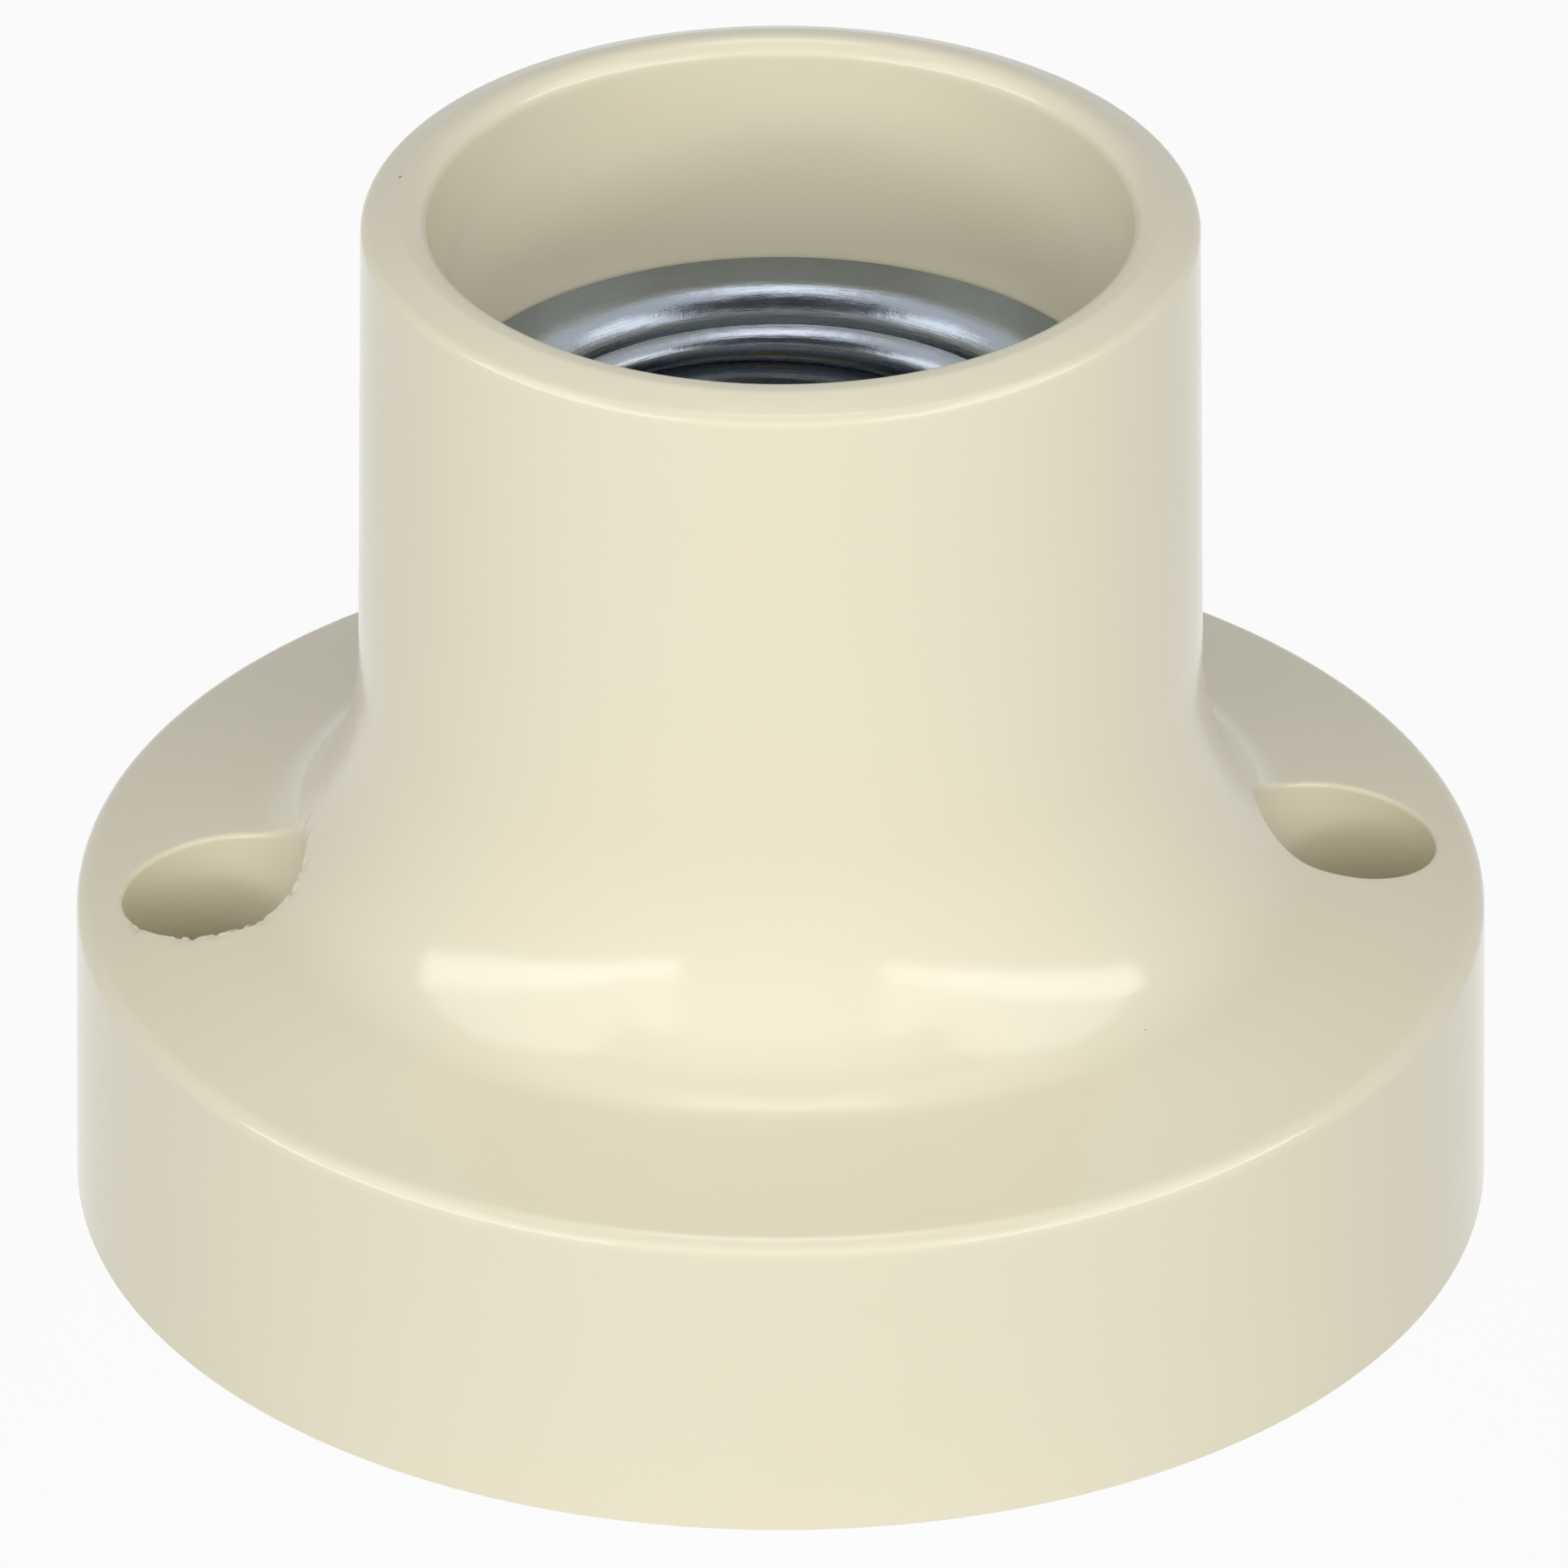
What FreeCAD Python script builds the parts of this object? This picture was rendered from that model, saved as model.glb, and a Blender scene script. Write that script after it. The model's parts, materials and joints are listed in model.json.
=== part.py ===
import FreeCAD, Part
import math
import os
from FreeCAD import Vector

# Surface lamp holder for an Edison-screw lamp, millimetres.
# Origin: centre of the rear face. +Z: lamp axis, out of the mouth. Fixing holes lie on X.
# Every turned outline is written as (radius, height) in the XZ half plane.

# --- base disc -------------------------------------------------------------
base_radius = 35.0            # rim at the rear face
base_wall_height = 15.8       # where side wall and deck would meet
base_wall_draft = 1.05        # degrees
base_wall = 3.0               # wall left round the rear pan
deck_slope = 11.0             # degrees, the deck rises towards the tube
deck_edge_round = 1.0
pan_ceiling = 12.5            # flat ceiling of the rear pan
pan_draft = 1.0               # degrees
pan_corner_round = 1.5

# --- tube and flare --------------------------------------------------------
body_height = 53.4            # crest of the lip
tube_top_radius = 20.3
tube_draft = 0.75             # degrees
flare_cone_angle = 35.0       # degrees from the axis, between the two arcs of the flare
flare_cone_foot = 24.7        # radius where that cone would meet the deck
flare_upper_round = 17.0
flare_lower_round = 4.4
lip_crest_radius = 18.55
lip_fall = 0.7                # from the crest down to the outer edge
lip_outer_round = 0.7
lip_mouth_round = 1.3
bore_radius = 17.1

# --- lamp chamber ----------------------------------------------------------
flange_depth = 11.9           # from the lip crest to the top of the shell flange
chamber_radius = 14.6
chamber_floor = 17.0
barrier_rib_width = 1.6
barrier_rib_drop = 5.0
barrier_rib_length = 27.0
barrier_rib_offset = 3.2      # from the axis, towards the neutral plate

# --- fixing holes ----------------------------------------------------------
fixing_inset = 7.0            # from the rim to each hole's axis
fixing_hole_radius = 2.4
counterbore_radius = 4.5
counterbore_floor = 5.0
fixing_boss_wall = 1.7

# --- screw shell: E27 rolled thread ----------------------------------------
sheet = 0.4                   # sheet thickness of the shell
thread_major = 13.35          # inside radius in the groove
thread_crest = 12.2           # inside radius on the crest
thread_pitch = 3.629
thread_lead = 1.3             # plain wall above the thread
thread_tail = 4.0             # least plain wall under the thread
shell_bend = 0.7              # inside radius of each bend
flange_dish = 0.25            # the flange falls towards its bend
seat_clearance = 0.08         # round the flange, where the bore tapers in to centre it
seat_lead = 0.2               # height above the flange at which that taper starts
flange_clearance = 0.15
shell_base_hole = 9.2
rivet_circle = 11.0

# --- rivets ----------------------------------------------------------------
rivet_radius = 1.2
rivet_head_radius = 1.7
rivet_head_height = 0.9
rivet_head_round = 0.54
rivet_clearance = 0.06
rivet_washer_radius = 3.0
rivet_washer_thickness = 0.7
rivet_dimple = 0.7            # radius of the dimple left in the tail

# --- centre contact --------------------------------------------------------
leaf_width = 5.0
leaf_thickness = 0.5
leaf_heel = 7.2               # end of the foot, from the axis
leaf_foot = 3.9               # flat length of the foot
leaf_rise = 3.6               # from the chamber floor to the top of the contact point
leaf_tip = 3.2                # free end, past the axis
leaf_tip_drop = 1.5
leaf_bend = 0.9
leaf_crown = 1.6              # flat length of the contact point
contact_rivet_offset = 5.2

# --- terminals -------------------------------------------------------------
plate_width = 9.0
plate_thickness = 1.0
plate_recess = 0.6
plate_clearance = 0.2
plate_heel = 2.6              # plate left behind each rivet
plate_corner = 1.0
terminal_reach = 8.5          # from the shell rivets' circle to each terminal screw
plate_tip = 5.0               # plate beyond the terminal screw's axis
terminal_screw_radius = 1.7
terminal_thread_clearance = 0.05
terminal_screw_length = 7.0   # shank under the head
terminal_head_radius = 3.2
terminal_head_height = 2.3
terminal_head_round = 0.5
terminal_screw_point = 0.5
terminal_slot_width = 0.9
terminal_slot_depth = 1.2
clamp_side = 8.2
clamp_thickness = 1.0
clamp_hole_clearance = 0.25
clamp_corner = 1.2
pocket_clearance = 0.5

overshoot = 1.0               # how far a cutting or joining tool runs past the face it meets

# --- worked out ------------------------------------------------------------
floor_of_recess = pan_ceiling + plate_recess
terminal_offset = rivet_circle + terminal_reach
plate_end = terminal_offset + plate_tip
plate_under = floor_of_recess - plate_thickness
flange_top = body_height - flange_depth
shoulder = flange_top - flange_dish - sheet
flange_radius = bore_radius - flange_clearance
seat_radius = flange_radius + seat_clearance
clamp_under = plate_under - clamp_thickness
screw_tip = clamp_under + terminal_screw_length
thread_top = shoulder - thread_lead
thread_turns = math.floor((thread_top - thread_tail - chamber_floor) / thread_pitch)
thread_foot = thread_top - thread_turns * thread_pitch
fixing_places = (fixing_inset - base_radius, base_radius - fixing_inset)
live_side = -1
neutral_side = 1
plate_heels = {live_side: contact_rivet_offset - plate_heel,
               neutral_side: rivet_circle - plate_heel}


def lean(height, degrees):
    """Sideways run of a wall that leans by a draft angle over a height."""
    return height * math.tan(math.radians(degrees))


def pin(radius, low, high, x=0.0, y=0.0):
    """Vertical cylinder between two heights."""
    return Part.makeCylinder(radius, high - low, Vector(x, y, low))


def block(x_size, y_size, low, high, x=0.0, y=0.0):
    """Upright block centred on x, y."""
    corner = Vector(x - x_size / 2, y - y_size / 2, low)
    return Part.makeBox(x_size, y_size, high - low, corner)


def polar(radius, degrees):
    """Point on a circle about the lamp axis."""
    angle = math.radians(degrees)
    return radius * math.cos(angle), radius * math.sin(angle)


contact_rivet_place = (0.0, -contact_rivet_offset)
shell_rivet_places = [polar(rivet_circle, degrees) for degrees in (90.0, 210.0, 330.0)]
rivet_places = [contact_rivet_place] + shell_rivet_places


def rounded_face(corners):
    """Flat face whose outline runs through (point, rounding) corners in turn."""
    count = len(corners)
    points = [point for point, _ in corners]
    ahead = [(points[(i + 1) % count] - points[i]) for i in range(count)]
    half = [ahead[i].getAngle(-ahead[i - 1]) / 2 for i in range(count)]
    run = [size / math.tan(half[i]) for i, (_, size) in enumerate(corners)]
    room = [min(1, 0.999 * ahead[i].Length / max(run[i] + run[(i + 1) % count], 1e-9))
            for i in range(count)]
    edges = []
    for i in range(count):
        run[i] *= min(room[i - 1], room[i])
    for i in range(count):
        forward = Vector(ahead[i]).normalize()
        backward = Vector(ahead[i - 1]).normalize() * -1
        start = points[i] + backward * run[i]
        end = points[i] + forward * run[i]
        if run[i] > 0:
            reach = run[i] / math.cos(half[i]) - run[i] * math.tan(half[i])
            middle = points[i] + (forward + backward).normalize() * reach
            edges.append(Part.Arc(start, middle, end).toShape())
        following = points[(i + 1) % count] - forward * run[(i + 1) % count]
        edges.append(Part.LineSegment(end, following).toShape())
    return Part.Face(Part.Wire(edges))


def turned(corners):
    """Solid turned about the lamp axis from (radius, height, rounding) corners."""
    face = rounded_face([(Vector(radius, 0, height), size) for radius, height, size in corners])
    return face.revolve(Vector(0, 0, 0), Vector(0, 0, 1), 360)


def folded(path, thickness, inside_bend):
    """Corners of a folded sheet's section, from its centre line as (point, bent) pairs."""
    sides = {1: [], -1: []}
    across = [(path[i + 1] - path[i]).normalize() for i in range(len(path) - 1)]
    across = [Vector(-way.z, 0, way.x) for way in across]
    for i, point in enumerate(path):
        before = across[max(i - 1, 0)]
        after = across[min(i, len(across) - 1)]
        mitre = (before + after) / (1 + before.dot(after))
        turn = before.x * after.z - before.z * after.x
        for side in sides:
            outside = thickness if turn * side < 0 else 0
            size = 0 if abs(turn) < 1e-9 else inside_bend + outside
            sides[side].append((point + mitre * side * thickness / 2, size))
    return sides[1] + sides[-1][::-1]


# --- body ------------------------------------------------------------------
def body():
    """One moulding: tube, flare, deck, side wall, lamp chamber and rear pan."""
    rim_corner = base_radius - lean(base_wall_height, base_wall_draft)
    cone_foot_height = base_wall_height + lean(rim_corner - flare_cone_foot, deck_slope)
    tube_foot = tube_top_radius + lean(body_height - cone_foot_height, tube_draft)
    cone_top_height = cone_foot_height + lean(flare_cone_foot - tube_foot, 90 - flare_cone_angle)
    pan_radius = base_radius - base_wall
    shape = turned([
        (pan_radius, 0, 0),
        (base_radius, 0, 0),
        (rim_corner, base_wall_height, deck_edge_round),
        (flare_cone_foot, cone_foot_height, flare_lower_round),
        (tube_foot, cone_top_height, flare_upper_round),
        (tube_top_radius, body_height - lip_fall, lip_outer_round),
        (lip_crest_radius, body_height, 0),
        (bore_radius, body_height, lip_mouth_round),
        (bore_radius, flange_top + seat_lead, 0),
        (seat_radius, shoulder, 0),
        (chamber_radius, shoulder, 0),
        (chamber_radius, chamber_floor, 0),
        (0, chamber_floor, 0),
        (0, pan_ceiling, 0),
        (pan_radius - lean(pan_ceiling, pan_draft), pan_ceiling, pan_corner_round)])
    bosses = [pin(counterbore_radius + fixing_boss_wall, 0, pan_ceiling + overshoot, x)
              for x in fixing_places]
    rib = block(barrier_rib_length, barrier_rib_width,
                pan_ceiling - barrier_rib_drop, pan_ceiling + overshoot, 0, barrier_rib_offset)
    shape = shape.fuse(bosses + [rib])
    cuts = []
    for x in fixing_places:
        cuts.append(pin(fixing_hole_radius, -overshoot, counterbore_floor + overshoot, x))
        cuts.append(pin(counterbore_radius, counterbore_floor, body_height, x))
    for x, y in rivet_places:
        cuts.append(pin(rivet_radius + rivet_clearance, 0, body_height, x, y))
    for side, heel in plate_heels.items():
        low, high = sorted((side * (heel - plate_clearance), side * (plate_end + plate_clearance)))
        cuts.append(block(plate_width + 2 * plate_clearance, high - low,
                          0, floor_of_recess, 0, (low + high) / 2))
        cuts.append(pin(terminal_screw_radius + pocket_clearance, 0,
                        screw_tip + pocket_clearance, 0, side * terminal_offset))
    return shape.cut(cuts)


# --- screw shell -----------------------------------------------------------
def screw_shell():
    """Stamped shell in one fold: flange, rolled wall and riveted base ring."""
    wall = thread_major + sheet / 2
    crest = thread_crest + sheet / 2
    path = [Vector(flange_radius, 0, flange_top - sheet / 2),
            Vector(wall, 0, flange_top - flange_dish - sheet / 2)]
    for turn in range(thread_turns):
        top = thread_top - turn * thread_pitch
        path.append(Vector(wall, 0, top))
        path.append(Vector(crest, 0, top - thread_pitch / 2))
    path.append(Vector(wall, 0, thread_top - thread_turns * thread_pitch))
    path.append(Vector(wall, 0, chamber_floor + sheet / 2))
    path.append(Vector(shell_base_hole, 0, chamber_floor + sheet / 2))
    section = rounded_face(folded(path, sheet, shell_bend))
    shape = section.revolve(Vector(0, 0, 0), Vector(0, 0, 1), 360)
    holes = [pin(rivet_radius + rivet_clearance, chamber_floor - overshoot, thread_foot, x, y)
             for x, y in shell_rivet_places]
    return shape.cut(holes)


# --- rivets and washers ----------------------------------------------------
def rivet(x, y, under_head, over_tail):
    """Rivet with a domed head above and a clinched, dimpled tail below."""
    top = under_head + rivet_head_height
    low = over_tail - rivet_head_height
    shape = turned([
        (0, top, 0),
        (0, low, 0),
        (rivet_head_radius, low, rivet_head_round),
        (rivet_head_radius, over_tail, 0),
        (rivet_radius, over_tail, 0),
        (rivet_radius, under_head, 0),
        (rivet_head_radius, under_head, 0),
        (rivet_head_radius, top, rivet_head_round)])
    dimple = pin(rivet_dimple, low - overshoot, low + rivet_head_height)
    shape = shape.cut(dimple)
    shape.translate(Vector(x, y, 0))
    return shape


def rivet_washer(x, y):
    """Plain washer between the pan ceiling and a rivet's tail."""
    low = pan_ceiling - rivet_washer_thickness
    disc = pin(rivet_washer_radius, low, pan_ceiling, x, y)
    return disc.cut(pin(rivet_radius + rivet_clearance, low - overshoot, pan_ceiling + overshoot, x, y))


# --- centre contact --------------------------------------------------------
def centre_contact():
    """Leaf spring: riveted foot, rising arm, contact crown on the axis, drooping tip."""
    foot = chamber_floor + leaf_thickness / 2
    crown = chamber_floor + leaf_rise - leaf_thickness / 2
    path = [Vector(-leaf_heel, 0, foot),
            Vector(leaf_foot - leaf_heel, 0, foot),
            Vector(-leaf_crown / 2, 0, crown),
            Vector(leaf_crown / 2, 0, crown),
            Vector(leaf_tip, 0, crown - leaf_tip_drop)]
    section = rounded_face(folded(path, leaf_thickness, leaf_bend))
    leaf = section.extrude(Vector(0, leaf_width, 0))
    leaf.translate(Vector(0, -leaf_width / 2, 0))
    leaf.rotate(Vector(0, 0, 0), Vector(0, 0, 1), 90)
    x, y = contact_rivet_place
    return leaf.cut(pin(rivet_radius + rivet_clearance, 0, body_height, x, y))


# --- terminals -------------------------------------------------------------
def terminal_plate(side, heel, rivet_place):
    """Brass strip under the web, with a rivet hole and a tapped hole."""
    length = plate_end - heel
    plate = block(plate_width, length, plate_under, floor_of_recess, 0, side * (heel + length / 2))
    corners = [edge for edge in plate.Edges if abs(edge.tangentAt(0).z) > 0.9]
    plate = plate.makeFillet(plate_corner, corners)
    holes = [pin(rivet_radius + rivet_clearance, 0, body_height, *rivet_place),
             pin(terminal_screw_radius + terminal_thread_clearance, 0, body_height,
                 0, side * terminal_offset)]
    return plate.cut(holes)


def clamp_washer(side):
    """Square washer that presses the wire against the plate."""
    y = side * terminal_offset
    washer = block(clamp_side, clamp_side, clamp_under, plate_under, 0, y)
    corners = [edge for edge in washer.Edges if abs(edge.tangentAt(0).z) > 0.9]
    washer = washer.makeFillet(clamp_corner, corners)
    return washer.cut(pin(terminal_screw_radius + clamp_hole_clearance, 0, body_height, 0, y))


def terminal_screw(side):
    """Slotted cheese-head screw, head towards the rear."""
    low = clamp_under - terminal_head_height
    shape = turned([
        (0, low, 0),
        (terminal_head_radius, low, terminal_head_round),
        (terminal_head_radius, clamp_under, 0),
        (terminal_screw_radius, clamp_under, 0),
        (terminal_screw_radius, screw_tip, terminal_screw_point),
        (0, screw_tip, 0)])
    slot = block(3 * terminal_head_radius, terminal_slot_width, low - overshoot, low + terminal_slot_depth)
    shape = shape.cut(slot)
    shape.translate(Vector(0, side * terminal_offset, 0))
    return shape


def main():
    web_top = {"contact": chamber_floor + leaf_thickness, "shell": chamber_floor + sheet}
    neutral_place, left_place, right_place = shell_rivet_places
    washer_under = pan_ceiling - rivet_washer_thickness
    nodes = {
        "body": body(),
        "screw_shell": screw_shell(),
        "centre_contact": centre_contact(),
        "contact_rivet": rivet(*contact_rivet_place, web_top["contact"], plate_under),
        "shell_rivet_neutral": rivet(*neutral_place, web_top["shell"], plate_under),
        "shell_rivet_left": rivet(*left_place, web_top["shell"], washer_under),
        "shell_rivet_right": rivet(*right_place, web_top["shell"], washer_under),
        "rivet_washer_left": rivet_washer(*left_place),
        "rivet_washer_right": rivet_washer(*right_place),
        "live_terminal": terminal_plate(live_side, plate_heels[live_side], contact_rivet_place),
        "neutral_terminal": terminal_plate(neutral_side, plate_heels[neutral_side],
                                           neutral_place),
        "live_clamp_washer": clamp_washer(live_side),
        "neutral_clamp_washer": clamp_washer(neutral_side),
        "live_terminal_screw": terminal_screw(live_side),
        "neutral_terminal_screw": terminal_screw(neutral_side),
    }
    os.makedirs("parts", exist_ok=True)
    for name, shape in nodes.items():
        shape.exportStep(os.path.join("parts", name + ".step"))
        print(name, shape.ShapeType, len(shape.Solids), shape.isValid(), round(shape.Volume, 2))


main()
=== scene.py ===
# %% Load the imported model
import json
import math

import bmesh
import bpy
import numpy as np
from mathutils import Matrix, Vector


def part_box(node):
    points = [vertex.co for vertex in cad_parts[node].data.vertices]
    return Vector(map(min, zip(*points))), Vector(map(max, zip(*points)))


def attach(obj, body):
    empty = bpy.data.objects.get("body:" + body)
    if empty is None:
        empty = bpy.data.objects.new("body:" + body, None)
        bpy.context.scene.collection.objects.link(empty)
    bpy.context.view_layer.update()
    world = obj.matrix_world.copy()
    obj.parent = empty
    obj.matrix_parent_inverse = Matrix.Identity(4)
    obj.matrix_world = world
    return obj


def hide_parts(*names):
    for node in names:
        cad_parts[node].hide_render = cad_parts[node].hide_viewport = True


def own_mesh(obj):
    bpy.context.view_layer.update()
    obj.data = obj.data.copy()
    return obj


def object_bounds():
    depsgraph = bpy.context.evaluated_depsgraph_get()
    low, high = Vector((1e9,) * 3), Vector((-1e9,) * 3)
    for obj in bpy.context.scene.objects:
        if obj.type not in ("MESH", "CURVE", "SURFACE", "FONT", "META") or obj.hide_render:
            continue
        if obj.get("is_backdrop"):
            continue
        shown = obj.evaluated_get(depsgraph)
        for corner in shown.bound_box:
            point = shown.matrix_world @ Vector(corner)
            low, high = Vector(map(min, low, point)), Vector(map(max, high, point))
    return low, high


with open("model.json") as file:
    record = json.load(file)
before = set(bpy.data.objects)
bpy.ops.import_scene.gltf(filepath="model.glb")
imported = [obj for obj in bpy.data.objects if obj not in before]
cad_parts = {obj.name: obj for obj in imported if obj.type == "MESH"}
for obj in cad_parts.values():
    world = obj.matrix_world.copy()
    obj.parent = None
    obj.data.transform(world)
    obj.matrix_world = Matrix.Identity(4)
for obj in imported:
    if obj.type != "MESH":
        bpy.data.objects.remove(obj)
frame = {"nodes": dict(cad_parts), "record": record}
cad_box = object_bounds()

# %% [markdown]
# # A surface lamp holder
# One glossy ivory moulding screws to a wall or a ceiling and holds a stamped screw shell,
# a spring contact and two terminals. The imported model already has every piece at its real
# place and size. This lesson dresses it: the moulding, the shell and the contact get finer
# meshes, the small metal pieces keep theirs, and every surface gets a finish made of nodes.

MM = 0.001
UP = Vector((0, 0, 1))
scene = bpy.context.scene
print("nodes in the frame:", sorted(frame["nodes"]))

# %% [markdown]
# ## Sizes that come from the frame
# Nothing is measured by eye twice. The box of each node gives the rim, the mouth, the seat of
# the shell and the places of the rivets, so the finer meshes land exactly on the plain ones.

# %% Read the frame
body_low, body_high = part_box("body")
shell_low, shell_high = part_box("screw_shell")
leaf_low, leaf_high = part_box("centre_contact")
base_radius = body_high.x
body_height = body_high.z
flange_radius = shell_high.x
flange_top = shell_high.z
chamber_floor = shell_low.z
mounts = {mount["name"]: mount for mount in frame["record"]["mounts"]}
bore_radius = mounts["mouth"]["dims"]["r_mm"] * MM
thread_major = mounts["lamp_thread"]["dims"]["r_mm"] * MM
fixing_hole = mounts["fixing_holes"]["dims"]["hole_r_mm"] * MM
fixing_offset = mounts["fixing_holes"]["dims"]["spacing_x_mm"] * MM / 2


def centre_of(node):
    """Middle of a node's box."""
    low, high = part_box(node)
    return (low + high) / 2


print(f"rim {base_radius / MM:.2f} mm, height {body_height / MM:.2f} mm, bore {bore_radius / MM:.2f} mm")

# %% [markdown]
# ## Outlines with rounded corners
# Turned and folded pieces start as a few corners, each with its own rounding. A rounding is an
# arc that touches both legs, so light runs over it without a kink. Long legs are cut into short
# steps, because a later cut leaves long thin faces, and these shade badly on a glossy skin.

# %% Outline helpers
ARC_STEP = math.radians(5)


def rounded(corners, longest, closed=True):
    """Points of a flat outline from (first, second, rounding) corners, with arcs and short legs."""
    count = len(corners)
    spots = [np.array(corner[:2], float) for corner in corners]
    points = []
    for i in range(count):
        size = corners[i][2]
        if size <= 0 or (not closed and i in (0, count - 1)):
            points.append(spots[i])
            continue
        back = spots[i - 1] - spots[i]
        ahead = spots[(i + 1) % count] - spots[i]
        back /= np.linalg.norm(back)
        ahead /= np.linalg.norm(ahead)
        half = math.acos(max(-1.0, min(1.0, float(back @ ahead)))) / 2
        middle = spots[i] + (back + ahead) / np.linalg.norm(back + ahead) * size / math.sin(half)
        start = spots[i] + back * size / math.tan(half) - middle
        end = spots[i] + ahead * size / math.tan(half) - middle
        turn = math.pi - 2 * half
        steps = max(2, math.ceil(turn / ARC_STEP))
        for step in range(steps + 1):
            share = step / steps
            blend = math.sin((1 - share) * turn) * start + math.sin(share * turn) * end
            points.append(middle + blend / math.sin(turn))
    return shorten(points, longest, closed)


def shorten(points, longest, closed):
    """The same outline with legs no longer than the given length."""
    result = []
    last = len(points) if closed else len(points) - 1
    for i in range(last):
        here, there = points[i], points[(i + 1) % len(points)]
        steps = max(1, math.ceil(np.linalg.norm(there - here) / longest))
        result += [here + (there - here) * step / steps for step in range(steps)]
    return result if closed else result + [points[-1]]


corners = [(0, 0, 1), (10, 0, 1), (10, 10, 1), (0, 10, 1)]
print("a square with rounded corners has", len(rounded(corners, longest=20)), "points")

# %% [markdown]
# ## From an outline to a mesh
# A mesh is built ring by ring: a turned piece is its outline repeated round the lamp's axis, and
# quads join each ring to the next. One helper ends every build. It turns the normals outwards,
# shades the faces smooth and marks the edges that stay sharp, by their angle.

# %% Mesh helpers
ON_AXIS = 1e-7


def join_rings(mesh, first, second):
    """Quads between two rings of vertices, or triangles where a ring is one point."""
    count = max(len(first), len(second))
    for i in range(count):
        corners = [first[i % len(first)], first[(i + 1) % len(first)],
                   second[(i + 1) % len(second)], second[i % len(second)]]
        mesh.faces.new(list(dict.fromkeys(corners)))


def finished(name, mesh, sharp_degrees=35):
    """Object from a mesh under construction, smooth with sharp edges kept by angle."""
    bmesh.ops.recalc_face_normals(mesh, faces=mesh.faces)
    data = bpy.data.meshes.new(name)
    mesh.to_mesh(data)
    mesh.free()
    data.polygons.foreach_set("use_smooth", [True] * len(data.polygons))
    data.set_sharp_from_angle(angle=math.radians(sharp_degrees))
    piece = bpy.data.objects.new(name, data)
    scene.collection.objects.link(piece)
    return piece


def circle(mesh, radius, height, segments, x=0.0, y=0.0):
    """Ring of vertices about an upright axis."""
    turns = [2 * math.pi * i / segments for i in range(segments)]
    return [mesh.verts.new((x + radius * math.cos(a), y + radius * math.sin(a), height)) for a in turns]


def turned(name, points, segments):
    """Ring mesh from a closed outline of (radius, height) points about the lamp axis."""
    mesh = bmesh.new()
    rings = []
    for radius, height in points:
        if radius < ON_AXIS:
            rings.append([mesh.verts.new((0, 0, height))])
        else:
            rings.append(circle(mesh, radius, height, segments))
    for i, ring in enumerate(rings):
        following = rings[(i + 1) % len(rings)]
        if len(ring) > 1 or len(following) > 1:
            join_rings(mesh, ring, following)
    return finished(name, mesh)


SEGMENTS = 360
print("turned pieces have", SEGMENTS, "sides")

# %% [markdown]
# ## Cutting and joining
# The rear of the moulding has bosses, a rib, holes and recesses. They are plain tools joined to
# or cut from the turned skin with the exact boolean, which keeps the mesh closed. The tools are
# thrown away afterwards.

# %% Boolean helpers
def bar(radius, low, high, x=0.0, y=0.0, segments=96):
    """Round tool between two heights."""
    mesh = bmesh.new()
    rings = []
    for height in (low, high):
        ring = circle(mesh, radius, height, segments, x, y)
        mesh.faces.new(ring)
        rings.append(ring)
    join_rings(mesh, *rings)
    return finished("tool", mesh)


def box_tool(x_range, y_range, z_range):
    """Square tool between three pairs of limits."""
    mesh = bmesh.new()
    made = bmesh.ops.create_cube(mesh, size=1)["verts"]
    limits = np.array([x_range, y_range, z_range])
    for vert in made:
        share = np.array(vert.co) + 0.5
        vert.co = limits[:, 0] + share * (limits[:, 1] - limits[:, 0])
    return finished("tool", mesh)


def boolean(piece, tools, operation):
    """The piece's mesh after joining or cutting with all tools at once."""
    joined = bpy.data.collections.new("tools")
    for tool in tools:
        scene.collection.objects.unlink(tool)
        joined.objects.link(tool)
    modifier = piece.modifiers.new("boolean", "BOOLEAN")
    modifier.operation = operation
    modifier.operand_type = "COLLECTION"
    modifier.collection = joined
    modifier.solver = "EXACT"
    graph = bpy.context.evaluated_depsgraph_get()
    result = bpy.data.meshes.new_from_object(piece.evaluated_get(graph))
    piece.modifiers.clear()
    piece.data = result
    for tool in tools:
        bpy.data.objects.remove(tool)
    bpy.data.collections.remove(joined)


# %% [markdown]
# ## The moulding
# The body is one thermoset moulding: a shallow disc with a sloping deck, a flare that sweeps up
# into the tube, and a softly rounded lip. A turned outline gives all of it. The two counterbores
# cut through the flare, and their rims are not sharp: the mould leaves a small rounding there.

# %% Outline of the moulding
WALL_DRAFT = math.radians(1.05)
DECK_SLOPE = math.radians(11)
TUBE_DRAFT = math.radians(0.75)
FLARE_LEAN = math.radians(35)
base_wall_height = 15.8 * MM
rim_corner = base_radius - base_wall_height * math.tan(WALL_DRAFT)
flare_foot = 24.7 * MM
flare_foot_height = base_wall_height + (rim_corner - flare_foot) * math.tan(DECK_SLOPE)
tube_top = 20.3 * MM
tube_foot = tube_top + (body_height - flare_foot_height) * math.tan(TUBE_DRAFT)
flare_top_height = flare_foot_height + (flare_foot - tube_foot) / math.tan(FLARE_LEAN)
lip_crest = 18.55 * MM
lip_fall = 0.7 * MM
shell_sheet = 0.4 * MM
flange_dish = 0.25 * MM
shoulder = flange_top - flange_dish - shell_sheet

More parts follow.
